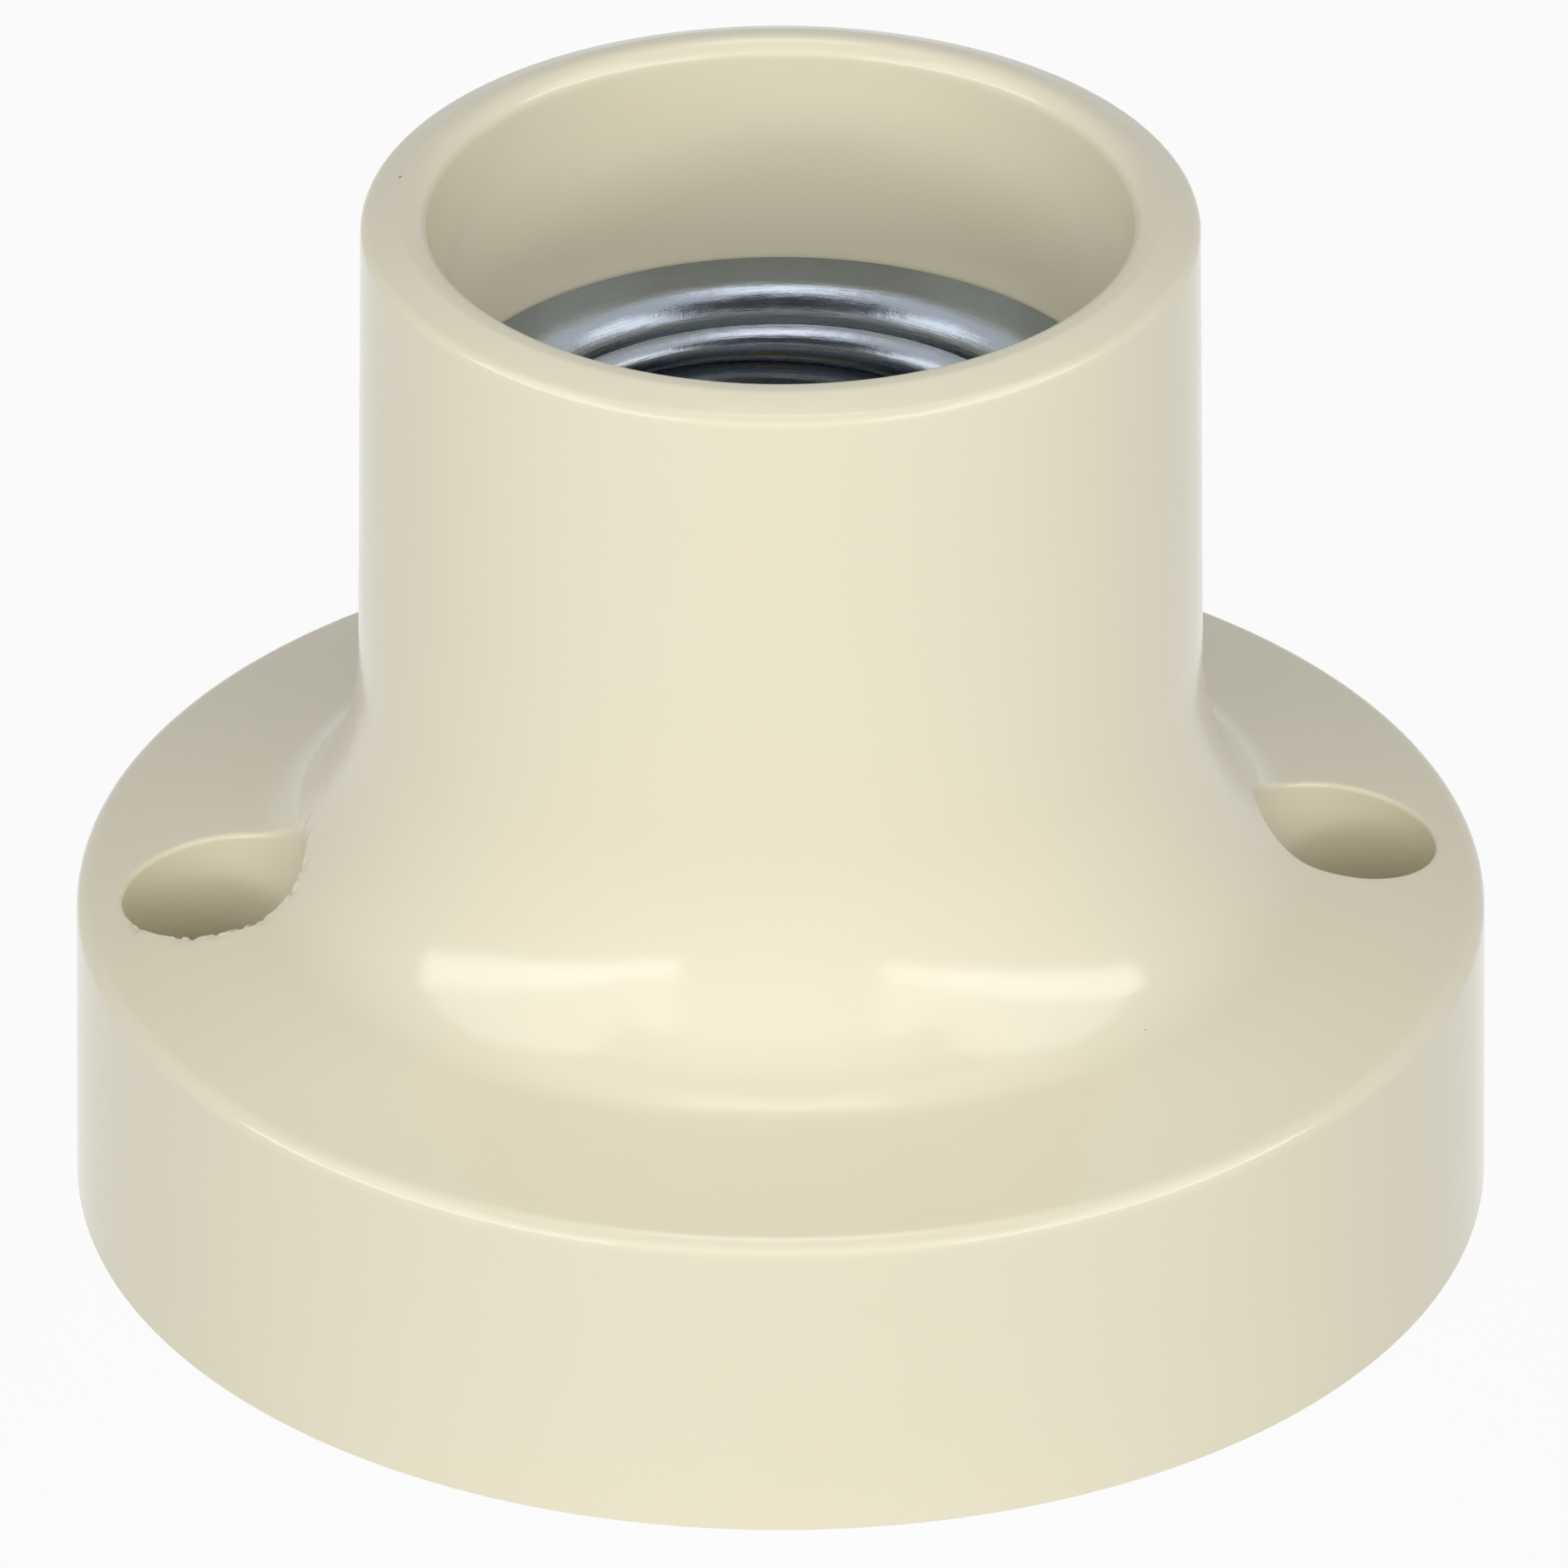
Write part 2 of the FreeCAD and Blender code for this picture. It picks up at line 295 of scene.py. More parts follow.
outer_skin = [
    (base_radius, 0, 0),
    (rim_corner, base_wall_height, 1.0 * MM),
    (flare_foot, flare_foot_height, 4.4 * MM),
    (tube_foot, flare_top_height, 17.0 * MM),
    (tube_top, body_height - lip_fall, 0.7 * MM),
    (lip_crest, body_height, 0.9 * MM),
    (bore_radius, body_height, 1.0 * MM),
    (bore_radius, shoulder, 0)]
print(f"tube {tube_top / MM:.1f} mm at the lip, {tube_foot / MM:.1f} mm where the flare ends")

# %% [markdown]
# ## Inside the moulding
# Behind the web that carries the contact and the terminals lies a wide pan, which leaves room
# for the wires. In front of it lies the lamp's chamber. Both are part of the same outline, so
# one turn makes the whole wall and there is nothing to hollow out later.

# %% Turn the moulding
PAN_DRAFT = math.radians(1)
pan_radius = base_radius - 3.0 * MM
pan_ceiling = 12.5 * MM
pan_top_radius = pan_radius - pan_ceiling * math.tan(PAN_DRAFT)
chamber_radius = 14.6 * MM
inner_skin = [
    (chamber_radius, shoulder, 0.8 * MM),
    (chamber_radius, chamber_floor, 0),
    (0, chamber_floor, 0),
    (0, pan_ceiling, 0),
    (pan_top_radius, pan_ceiling, 1.5 * MM),
    (pan_radius, 0, 0)]
SKIN_STEP = 0.8 * MM
moulding_outline = rounded(outer_skin + inner_skin, SKIN_STEP)
moulding = turned("moulding", moulding_outline, SEGMENTS)
print(len(moulding_outline), "points round the section,", len(moulding.data.polygons), "faces")

# %% [markdown]
# ## The rear of the moulding
# Two bosses stand behind the fixing holes, so a screw pulls on a solid column and not on the thin
# deck. A rib keeps the live and the neutral side apart. Tools that join or cut reach a little
# past the face they meet, because two faces in one plane confuse a boolean.

# %% Add the bosses and the rib
PAST = 1.0 * MM
counterbore = 4.5 * MM
boss_wall = 1.7 * MM
boss_top = pan_ceiling + PAST
bosses = [bar(counterbore + boss_wall, 0, boss_top, side * fixing_offset) for side in (-1, 1)]
rib_reach = 13.5 * MM
rib_sides = (2.4 * MM, 4.0 * MM)
rib_drop = 5.0 * MM
rib = box_tool((-rib_reach, rib_reach), rib_sides, (pan_ceiling - rib_drop, boss_top))
boolean(moulding, bosses + [rib], "UNION")
print("with bosses and rib:", len(moulding.data.polygons), "faces")

# %% Cut the recesses and the small holes
PLATE_GAP = 0.2 * MM
SCREW_ROOM = 0.5 * MM
screw_hole = 2.2 * MM
rivet_hole = 1.26 * MM
rivets = ("contact_rivet", "shell_rivet_neutral", "shell_rivet_left", "shell_rivet_right")


def rivet_drill(rivet, low, high):
    """Round tool for the hole that a rivet goes through."""
    middle = centre_of(rivet)
    return bar(rivet_hole, low, high, middle.x, middle.y, segments=32)


cuts = []
for terminal in ("live_terminal", "neutral_terminal"):
    low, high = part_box(terminal)
    cuts.append(box_tool((low.x - PLATE_GAP, high.x + PLATE_GAP),
                         (low.y - PLATE_GAP, high.y + PLATE_GAP), (-PAST, high.z)))
for screw in ("live_terminal_screw", "neutral_terminal_screw"):
    screw_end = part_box(screw)[1].z
    cuts.append(bar(screw_hole, 0, screw_end + SCREW_ROOM, 0, centre_of(screw).y))
cuts += [rivet_drill(rivet, pan_ceiling - 2 * PAST, chamber_floor + PAST) for rivet in rivets]
boolean(moulding, cuts, "DIFFERENCE")
print("before the fixing holes:", len(moulding.data.polygons), "faces")

# %% [markdown]
# ## The two fixing pockets
# The screw heads sink into counterbores that run out through the flare, so their rims rise and
# fall with the skin. A bevel on such a rim would tear. Instead a pocket is cut a little wide, its
# wall is taken away, and a new wall is grown from the rim. Every column starts at a vertex of the
# rim, so nothing is stitched. First the height of the skin at any place is needed.

# %% Height of the skin
flare_edge = tube_top + 0.2 * MM
skin_line = [point for point in rounded(outer_skin, SKIN_STEP, closed=False) if point[0] > flare_edge]
skin_radii = np.array([point[0] for point in skin_line])[::-1]
skin_heights = np.array([point[1] for point in skin_line])[::-1]


def skin_height(x, y):
    """Height of the outer skin above a place on the deck or the flare."""
    return float(np.interp(math.hypot(x, y), skin_radii, skin_heights))


print(f"skin at the fixing holes: {skin_height(fixing_offset, 0) / MM:.2f} mm high")

# %% [markdown]
# ## Chips on one rim
# On the left pocket the flash was broken off towards the front, which left a crumbled edge. Three
# waves of different lengths add up to an uneven line, and only their upper halves break the rim.

# %% Depth of the chips
CHIP_DEPTH = 0.14 * MM
CHIP_START = 0.35
CHIP_WAVES = ((9, 1.0, 0.0), (27, 0.9, 1.0), (47, 0.9, 2.0))


def chip(side, angle):
    """How far the rim is broken back at an angle round the pocket."""
    if side > 0:
        return 0.0
    reach = max(0.0, -math.sin(angle - CHIP_START)) ** 0.5
    rough = sum(size * math.sin(count * angle + phase) for count, size, phase in CHIP_WAVES)
    return reach * max(0.0, rough) * CHIP_DEPTH


deepest = max(chip(-1, math.radians(degree)) for degree in range(360))
print(f"deepest chip: {deepest / MM:.2f} mm")

# %% [markdown]
# ## One column of a pocket's wall
# Seen in section, a pocket's wall is a quarter curve that leaves the skin along its own slope and
# ends upright, then the straight wall, a small rounding at the floor, and the edge of the screw
# hole. The same number of points in every column lets neighbouring columns join into quads.

# %% Points of a column
RIM_ROUND = 0.3 * MM
FLOOR_ROUND = 0.5 * MM
HOLE_ROUND = 0.2 * MM
RIM_STEPS = 5
FLOOR_STEPS = 4
counterbore_floor = 5.0 * MM


def pocket_column(x, start, angle, side):
    """Points from the rim down to the screw hole, on one side of a pocket."""
    way = Vector((math.cos(angle), math.sin(angle), 0))
    foot = Vector((x, 0, 0)) + way * counterbore
    corner = foot + UP * skin_height(foot.x, foot.y)
    bottom = corner - UP * RIM_ROUND
    broken = chip(side, angle)
    corner -= UP * broken
    bottom += way * broken * 0.5
    column = []
    for step in range(1, RIM_STEPS + 1):
        t = step / RIM_STEPS
        column.append(start * (1 - t) ** 2 + corner * 2 * t * (1 - t) + bottom * t * t)
    wall_foot = counterbore_floor + FLOOR_ROUND
    for share in (0.25, 0.6, 1.0):
        column.append(Vector((foot.x, foot.y, bottom.z + (wall_foot - bottom.z) * share)))
    for step in range(1, FLOOR_STEPS + 1):
        turn = math.pi / 2 * step / FLOOR_STEPS
        inset = counterbore - FLOOR_ROUND * (1 - math.cos(turn))
        height = wall_foot - FLOOR_ROUND * math.sin(turn)
        column.append(Vector((x, 0, height)) + way * inset)
    column.append(Vector((x, 0, counterbore_floor)) + way * (fixing_hole + HOLE_ROUND))
    column.append(Vector((x, 0, counterbore_floor - HOLE_ROUND)) + way * fixing_hole)
    return column


print(f"pocket: {counterbore / MM:.1f} mm radius, floor at {counterbore_floor / MM:.1f} mm")

# %% [markdown]
# ## Cut wide, then grow the new wall
# After the boolean, the faces of the wide wall and its floor are found by their distance from the
# pocket's axis and by their normal, and deleted. The cut leaves a few vertices almost on top of
# each other, which are merged first, so that the rim is one clean loop.

# %% Open a pocket
TOUCH = 1e-6
SLACK = 0.005 * MM
LEVEL = 0.99
UPRIGHT = 0.3
wide = counterbore + RIM_ROUND
shaft_end = counterbore_floor / 2


def cut_wide(piece, x):
    """Mesh with a wide pocket and a screw hole cut, and the pocket's wall and floor taken away."""
    cutter = bar(wide, counterbore_floor, body_height, x, 0, segments=144)
    shaft = bar(fixing_hole, -PAST, shaft_end, x, 0, segments=72)
    boolean(piece, [cutter, shaft], "DIFFERENCE")
    mesh = bmesh.new()
    mesh.from_mesh(piece.data)
    doomed = []
    for face in mesh.faces:
        reach = [math.hypot(v.co.x - x, v.co.y) for v in face.verts]
        lowest = min(v.co.z for v in face.verts)
        on_wall = min(reach) > wide - SLACK and max(reach) < wide + SLACK
        on_floor = max(reach) < wide + SLACK and abs(face.normal.z) > LEVEL
        if (on_wall and abs(face.normal.z) < UPRIGHT) or (on_floor and lowest > shaft_end - TOUCH):
            doomed.append(face)
    bmesh.ops.delete(mesh, geom=doomed, context="FACES")
    return mesh


# %% Grow the wall
FRAY = 0.03 * MM
POCKET_REACH = 6 * MM


def open_edges(mesh):
    """Edges with a face on one side only."""
    return [edge for edge in mesh.edges if edge.is_boundary]


def pocket(piece, side):
    """One counterbored fixing hole with a rounded rim."""
    x = side * fixing_offset
    mesh = cut_wide(piece, x)
    bmesh.ops.remove_doubles(mesh, verts=[v for v in mesh.verts if v.is_boundary], dist=FRAY)
    loose = [v for v in mesh.verts if v.is_boundary]
    near = [v for v in loose if math.hypot(v.co.x - x, v.co.y) < POCKET_REACH]
    rim = [v for v in near if v.co.z > counterbore_floor + PAST]
    shaft_top = [v for v in near if abs(v.co.z - shaft_end) < SLACK]
    rim.sort(key=lambda v: math.atan2(v.co.y, v.co.x - x))
    angles = [math.atan2(v.co.y, v.co.x - x) for v in rim]
    for v, angle in zip(rim, angles):
        v.co.z -= chip(side, angle)
    columns = [pocket_column(x, v.co.copy(), angle, side) for v, angle in zip(rim, angles)]
    ring = rim
    for level in range(len(columns[0])):
        lower = [mesh.verts.new(column[level]) for column in columns]
        join_rings(mesh, ring, lower)
        ring = lower
    ends = set(shaft_top + ring)
    bmesh.ops.bridge_loops(mesh, edges=[edge for edge in open_edges(mesh) if edge.verts[0] in ends])
    print("pocket", side, "rim of", len(rim), "vertices, open edges left:", len(open_edges(mesh)))
    bmesh.ops.recalc_face_normals(mesh, faces=mesh.faces)
    mesh.to_mesh(piece.data)
    mesh.free()


for side in (-1, 1):
    pocket(moulding, side)
moulding.data.polygons.foreach_set("use_smooth", [True] * len(moulding.data.polygons))
moulding.data.set_sharp_from_angle(angle=math.radians(35))
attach(moulding, "housing")
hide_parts("body")
print("moulding:", len(moulding.data.polygons), "faces")

# %% [markdown]
# ## The rolled screw shell
# The shell is one stamping: a flange that rests in the mouth, a wall with the lamp thread
# rolled into it, and a base ring. A rolled thread is the sheet itself bent in and out along a
# right-hand helix, so both skins are made from one path. Its round crests and grooves are arcs
# of one radius that meet on the slope, and the wave fades where the roll enters and leaves.

# %% The thread's wave
thread_pitch = 3.629 * MM
thread_depth = 1.15 * MM
THREAD_PHASE = math.radians(179)
quarter = thread_pitch / 4
thread_arc = (quarter ** 2 + (thread_depth / 2) ** 2) / thread_depth
wall_radius = thread_major + shell_sheet / 2
thread_top = shoulder - 0.2 * MM
thread_foot = chamber_floor + 3.4 * MM
FADE = 2.0 * MM


def ease(share):
    """Smooth step from 0 to 1."""
    share = min(1.0, max(0.0, share))
    return share * share * (3 - 2 * share)


def dent(height, angle):
    """How far the sheet is pressed inwards by the roll at a height and an angle."""
    turns = (height / thread_pitch) - (angle + THREAD_PHASE) / (2 * math.pi)
    along = (turns - math.floor(turns)) * thread_pitch
    from_crest = min(along, thread_pitch - along)
    if from_crest < quarter:
        inward = thread_depth - thread_arc + math.sqrt(thread_arc ** 2 - from_crest ** 2)
    else:
        inward = thread_arc - math.sqrt(thread_arc ** 2 - (thread_pitch / 2 - from_crest) ** 2)
    return inward * ease((thread_top - height) / FADE) * ease((height - thread_foot) / FADE)


print(f"thread: {(thread_top - thread_foot) / thread_pitch:.1f} turns, {thread_depth / MM:.2f} mm deep")

# %% [markdown]
# ## From the path to the sheet
# The middle line of the sheet runs from the flange down the wall to the base ring. At each angle
# it is pressed in by the wave, and half the sheet's thickness is added on either side. The
# flange's bend is wide, as a drawn sheet's is, and catches the light inside the mouth.

# %% Build the shell
FLANGE_BEND = 1.8 * MM
BASE_BEND = 0.9 * MM
SHEET_STEP = 0.26 * MM
base_ring = 9.2 * MM


def shell_path():
    """Middle line of the sheet without its thread, from the flange to the base ring."""
    return rounded([
        (flange_radius, flange_top - shell_sheet / 2, 0),
        (wall_radius, shoulder + shell_sheet / 2, FLANGE_BEND),
        (wall_radius, chamber_floor + shell_sheet / 2, BASE_BEND),
        (base_ring, chamber_floor + shell_sheet / 2, 0)], SHEET_STEP, closed=False)


def sheet_skins(middle, thickness):
    """The two skins of a sheet bent along a middle line of points."""
    run = np.gradient(middle, axis=0)
    run /= np.linalg.norm(run, axis=1)[:, None]
    across = np.stack([run[:, 1], -run[:, 0]], axis=1) * thickness / 2
    return middle + across, middle - across


def screw_shell(columns):
    """The rolled shell as a closed sheet."""
    plain = np.array(shell_path())
    mesh = bmesh.new()
    loops = []
    for column in range(columns):
        angle = 2 * math.pi * column / columns
        middle = plain.copy()
        middle[:, 0] -= [dent(height, angle) if radius < wall_radius + TOUCH else 0
                         for radius, height in plain]
        outside, inside = sheet_skins(middle, shell_sheet)
        outline = np.concatenate([outside, inside[::-1]])
        loops.append([mesh.verts.new((r * math.cos(angle), r * math.sin(angle), z)) for r, z in outline])
    for column in range(columns):
        join_rings(mesh, loops[column], loops[(column + 1) % columns])
    return finished("rolled_shell", mesh, sharp_degrees=50)


rolled_shell = screw_shell(SEGMENTS * 2 // 3)
drills = [rivet_drill(rivet, chamber_floor - PAST, chamber_floor + PAST) for rivet in rivets[1:]]
boolean(rolled_shell, drills, "DIFFERENCE")
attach(rolled_shell, "housing")
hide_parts("screw_shell")
print("rolled shell:", len(rolled_shell.data.polygons), "faces")

# %% [markdown]
# ## The centre contact
# A strip of spring bronze is riveted down at one end and rises to meet the lamp's tip. When a
# lamp is screwed in the strip flattens. Its edges are rolled over a little, as the edges of a
# stamping are after tumbling.

# %% Build the leaf
LEAF_THICKNESS = 0.5 * MM
LEAF_BEND = 1.15 * MM
LEAF_STEP = 0.4 * MM
foot_length = 3.9 * MM
crown_reach = 0.8 * MM
tip_drop = 1.5 * MM
leaf_heel = leaf_low.y
crown_height = leaf_high.z - LEAF_THICKNESS / 2
foot_height = leaf_low.z + LEAF_THICKNESS / 2


def leaf_strip():
    """The bent strip as a closed solid, before its edges are softened."""
    middle = np.array(rounded([
        (leaf_heel, foot_height, 0),
        (leaf_heel + foot_length, foot_height, LEAF_BEND),
        (-crown_reach, crown_height, LEAF_BEND),
        (crown_reach, crown_height, LEAF_BEND),
        (leaf_high.y, crown_height - tip_drop, 0)], LEAF_STEP, closed=False))
    over, under = sheet_skins(middle, LEAF_THICKNESS)
    outline = np.concatenate([under, over[::-1]])
    mesh = bmesh.new()
    sides = [[mesh.verts.new((x, y, z)) for y, z in outline] for x in (leaf_low.x, leaf_high.x)]
    join_rings(mesh, *sides)
    for side in sides:
        for i in range(len(middle) - 1):
            mesh.faces.new((side[i], side[i + 1], side[-2 - i], side[-1 - i]))
    return finished("contact_leaf_spring", mesh)


# %% Soften its edges
SOFT_ANGLE = math.radians(40)
SOFT_WIDTH = 0.08 * MM


def soften(piece):
    """Bevel on the sharp edges, applied to the mesh."""
    modifier = piece.modifiers.new("soft edges", "BEVEL")
    modifier.width = SOFT_WIDTH
    modifier.segments = 2
    modifier.limit_method = "ANGLE"
    modifier.angle_limit = SOFT_ANGLE
    graph = bpy.context.evaluated_depsgraph_get()
    piece.data = bpy.data.meshes.new_from_object(piece.evaluated_get(graph))
    piece.modifiers.clear()
    piece.data.polygons.foreach_set("use_smooth", [True] * len(piece.data.polygons))
    piece.data.set_sharp_from_angle(angle=SOFT_ANGLE)


contact_leaf = leaf_strip()
leaf_drill = rivet_drill("contact_rivet", chamber_floor - PAST, chamber_floor + PAST)
boolean(contact_leaf, [leaf_drill], "DIFFERENCE")
soften(contact_leaf)
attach(contact_leaf, "housing")
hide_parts("centre_contact")
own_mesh(contact_leaf)
print("leaf:", len(contact_leaf.data.polygons), "faces")

# %% [markdown]
# ## Effects that several finishes share
# Each effect is a node group with named inputs and outputs, built once. A group gives out only
# a colour or a height, and the shader stays in the material. All of them read the object's own
# coordinates, so the marks stay put on the piece and have their true size in metres.

# %% Node helpers
def put(tree, kind, wires, **settings):
    """Adds a node; a wire is a socket to link or a value to set, by the input's name or place."""
    made = tree.nodes.new(kind)
    for name, value in settings.items():
        setattr(made, name, value)
    for name, value in wires.items():
        if isinstance(value, bpy.types.NodeSocket):
            tree.links.new(value, made.inputs[name])
        else:
            made.inputs[name].default_value = value
    return made


def calculate(tree, operation, first, second=0.0):
    """Output of a Math node."""
    return put(tree, "ShaderNodeMath", {0: first, 1: second}, operation=operation).outputs[0]


def group_frame(name, inputs, outputs):
    """Empty node group with its named sockets."""
    tree = bpy.data.node_groups.new(name, "ShaderNodeTree")
    for label, kind, value in inputs:
        socket = tree.interface.new_socket(name=label, in_out="INPUT", socket_type=kind)
        socket.default_value = value
    for label, kind in outputs:
        tree.interface.new_socket(name=label, in_out="OUTPUT", socket_type=kind)
    return tree, tree.nodes.new("NodeGroupInput").outputs, tree.nodes.new("NodeGroupOutput").inputs


def place_group(tree, group, **wires):
    """Node that uses a group, with its inputs given by name (spaces as _)."""
    made = tree.nodes.new("ShaderNodeGroup")
    made.node_tree = group
    for name, value in wires.items():
        socket = made.inputs[name.replace("_", " ")]
        if isinstance(value, bpy.types.NodeSocket):
            tree.links.new(value, socket)
        else:
            socket.default_value = value
    return made.outputs


def noise_at(tree, size, detail, vector=None):
    """Noise whose lumps have a given size in metres."""
    if vector is None:
        vector = put(tree, "ShaderNodeTexCoord", {}).outputs["Object"]
    scale = calculate(tree, "DIVIDE", 1.0, size)
    wires = {"Vector": vector, "Scale": scale, "Detail": detail}
    return put(tree, "ShaderNodeTexNoise", wires).outputs["Fac"]


def mix_colours(tree, share, first, second):
    """Colour between two; a Mix node's colour sockets are numbered, since its names repeat."""
    wires = {0: share, 6: first, 7: second}
    return put(tree, "ShaderNodeMix", wires, data_type="RGBA").outputs[2]


# %% [markdown]
# ### Tint drift
# No moulded or rolled surface has one flat colour. A soft noise blends a second tint in, and its
# patches are as large as the name says, whatever the size of the piece.

# %% Group: tint drift
def make_tint_drift():
    """A colour that drifts a little towards a second one in soft patches."""
    tree, given, out = group_frame(
        "tint drift",
        [("Color", "NodeSocketColor", (0.8, 0.8, 0.8, 1)),
         ("Other Color", "NodeSocketColor", (0.7, 0.7, 0.7, 1)),
         ("Patch Size", "NodeSocketFloat", 0.01),
         ("Amount", "NodeSocketFloat", 0.5)],
        [("Color", "NodeSocketColor")])
    patches = noise_at(tree, given["Patch Size"], detail=3.0)
    share = calculate(tree, "MULTIPLY", patches, given["Amount"])
    tree.links.new(mix_colours(tree, share, given["Color"], given["Other Color"]), out["Color"])
    return tree


TINT_DRIFT = make_tint_drift()
print("group made:", TINT_DRIFT.name)

# %% [markdown]
# ### Specks
# Filler in the moulding powder shows as tiny dark specks. A cell pattern gives each speck its
# place; two of the cell's random values say whether it is filled and how large it is.

# %% Group: specks
def make_specks():
    """Tiny scattered specks: cells of a Voronoi pattern, of which only a few are filled."""
    tree, given, out = group_frame(
        "specks",
        [("Color", "NodeSocketColor", (0.8, 0.8, 0.8, 1)),
         ("Speck Color", "NodeSocketColor", (0.2, 0.2, 0.2, 1)),
         ("Spacing", "NodeSocketFloat", 0.002),
         ("Size", "NodeSocketFloat", 0.0001),
         ("Share", "NodeSocketFloat", 0.1)],
        [("Color", "NodeSocketColor")])
    place = put(tree, "ShaderNodeTexCoord", {}).outputs["Object"]
    scale = calculate(tree, "DIVIDE", 1.0, given["Spacing"])
    cells = put(tree, "ShaderNodeTexVoronoi", {"Vector": place, "Scale": scale})
    distance = calculate(tree, "MULTIPLY", cells.outputs["Distance"], given["Spacing"])
    apart = put(tree, "ShaderNodeSeparateColor", {"Color": cells.outputs["Color"]})
    reach = calculate(tree, "MULTIPLY", given["Size"], apart.outputs["Green"])
    near = calculate(tree, "LESS_THAN", distance, reach)
    chosen = calculate(tree, "LESS_THAN", apart.outputs["Red"], given["Share"])
    mask = calculate(tree, "MULTIPLY", near, chosen)
    tree.links.new(mix_colours(tree, mask, given["Color"], given["Speck Color"]), out["Color"])
    return tree


SPECKS = make_specks()
print("group made:", SPECKS.name)

# %% [markdown]
# ### Fine grain
# Light on a glossy skin shows every small wave of the mould or the roll. The height has a soft
# wave and a finer grain on top, and each material says how large and how strong they are.

# %% Group: fine grain
def make_fine_grain():
    """Height of a skin that has soft waves and a finer grain on top of them."""
    tree, given, out = group_frame(
        "fine grain",
        [("Wave Size", "NodeSocketFloat", 0.002), ("Grain Size", "NodeSocketFloat", 0.0002),
         ("Grain Share", "NodeSocketFloat", 0.2)],
        [("Height", "NodeSocketFloat")])
    wave = noise_at(tree, given["Wave Size"], detail=1.0)
    fine = noise_at(tree, given["Grain Size"], detail=2.0)
    grain = calculate(tree, "MULTIPLY", fine, given["Grain Share"])
    tree.links.new(calculate(tree, "ADD", wave, grain), out["Height"])
    return tree


FINE_GRAIN = make_fine_grain()
print("group made:", FINE_GRAIN.name)

# %% [markdown]
# ### Drawn lines
# Rolling and turning leave fine lines along the way the metal moved. The same noise makes them
# when its coordinates change fast across the lines and hardly along them.

# %% Group: drawn lines
def make_drawn_lines():
    """Height of the fine parallel lines that rolling or turning leaves on metal."""
    tree, given, out = group_frame(
        "drawn lines",
        [("Vector", "NodeSocketVector", (0, 0, 0)), ("Line Width", "NodeSocketFloat", 0.0001)],
        [("Height", "NodeSocketFloat")])
    lines = noise_at(tree, given["Line Width"], detail=3.0, vector=given["Vector"])
    tree.links.new(lines, out["Height"])
    return tree


DRAWN_LINES = make_drawn_lines()
print("group made:", DRAWN_LINES.name)

# %% [markdown]
# ## The finishes
# The moulding is a urea thermoset: ivory, glossy, with the faint waviness of a polished mould
# and a few dark specks of filler. The shell is bright rolled sheet, so its marks run round the
# axis. The small pieces are stamped or turned metal with their own marks and tarnish.

# %% Finish helpers
def srgb(red, green, blue):
    """Linear colour from the usual 0 to 255 values."""
    linear = []
    for value in (red, green, blue):
        share = value / 255
        linear.append(share / 12.92 if share <= 0.04045 else ((share + 0.055) / 1.055) ** 2.4)
    return (*linear, 1.0)


def finish_frame(name, **shader_values):
    """New material and its Principled shader."""
    material = bpy.data.materials.new(name)
    material.use_nodes = True
    shader = material.node_tree.nodes["Principled BSDF"]
    for label, value in shader_values.items():
        shader.inputs[label.replace("_", " ")].default_value = value
    return material, material.node_tree, shader


def bump(tree, shader, height, distance, strength=1.0):
    """Height to the shader's normal."""
    made = put(tree, "ShaderNodeBump", {"Height": height, "Distance": distance, "Strength": strength})
    tree.links.new(made.outputs["Normal"], shader.inputs["Normal"])


def spread(tree, value, low, high):
    """A 0 to 1 value moved to a range."""
    return calculate(tree, "ADD", calculate(tree, "MULTIPLY", value, high - low), low)


# %% [markdown]
# ### Ivory moulding
# Urea thermoset takes a high gloss straight from the mould and yellows a little with age. So the
# base is a light ivory with a warmer drift, the roughness is low and slightly smeared, and the
# bump is only about a hundredth of a millimetre deep.

# %% Ivory moulding
IVORY = srgb(231, 225, 201)
IVORY_WARM = srgb(227, 219, 191)
FILLER = srgb(128, 116, 92)


def ivory_moulding():
    """Glossy ivory thermoset."""
    material, tree, shader = finish_frame("ivory moulding", IOR=1.5)
    drift = place_group(tree, TINT_DRIFT, Color=IVORY, Other_Color=IVORY_WARM, Patch_Size=0.014, Amount=0.5)
    specks = place_group(tree, SPECKS, Color=drift["Color"], Speck_Color=FILLER,
                         Spacing=0.0026, Size=0.00011, Share=0.10)
    tree.links.new(specks["Color"], shader.inputs["Base Color"])
    smear = noise_at(tree, size=0.006, detail=4.0)
    tree.links.new(spread(tree, smear, low=0.11, high=0.19), shader.inputs["Roughness"])
    grain = place_group(tree, FINE_GRAIN, Wave_Size=0.0016, Grain_Size=0.00018, Grain_Share=0.10)
    bump(tree, shader, grain["Height"], distance=0.000012)
    return material


FINISHES = {"moulding": ivory_moulding()}
print("finish:", FINISHES["moulding"].name)

# %% [markdown]
# ### Rolled shell metal
# The shell is bright sheet, plain metal without a coat, a little blue against the ivory. Its
# lines run round the axis, because the thread was rolled on a turning arbor, and small dents
# from handling break up the reflections.

# %% Rolled shell metal
SHEET = srgb(160, 169, 180)
SHEET_DULL = srgb(142, 150, 160)
LINE_STRETCH = 0.0006


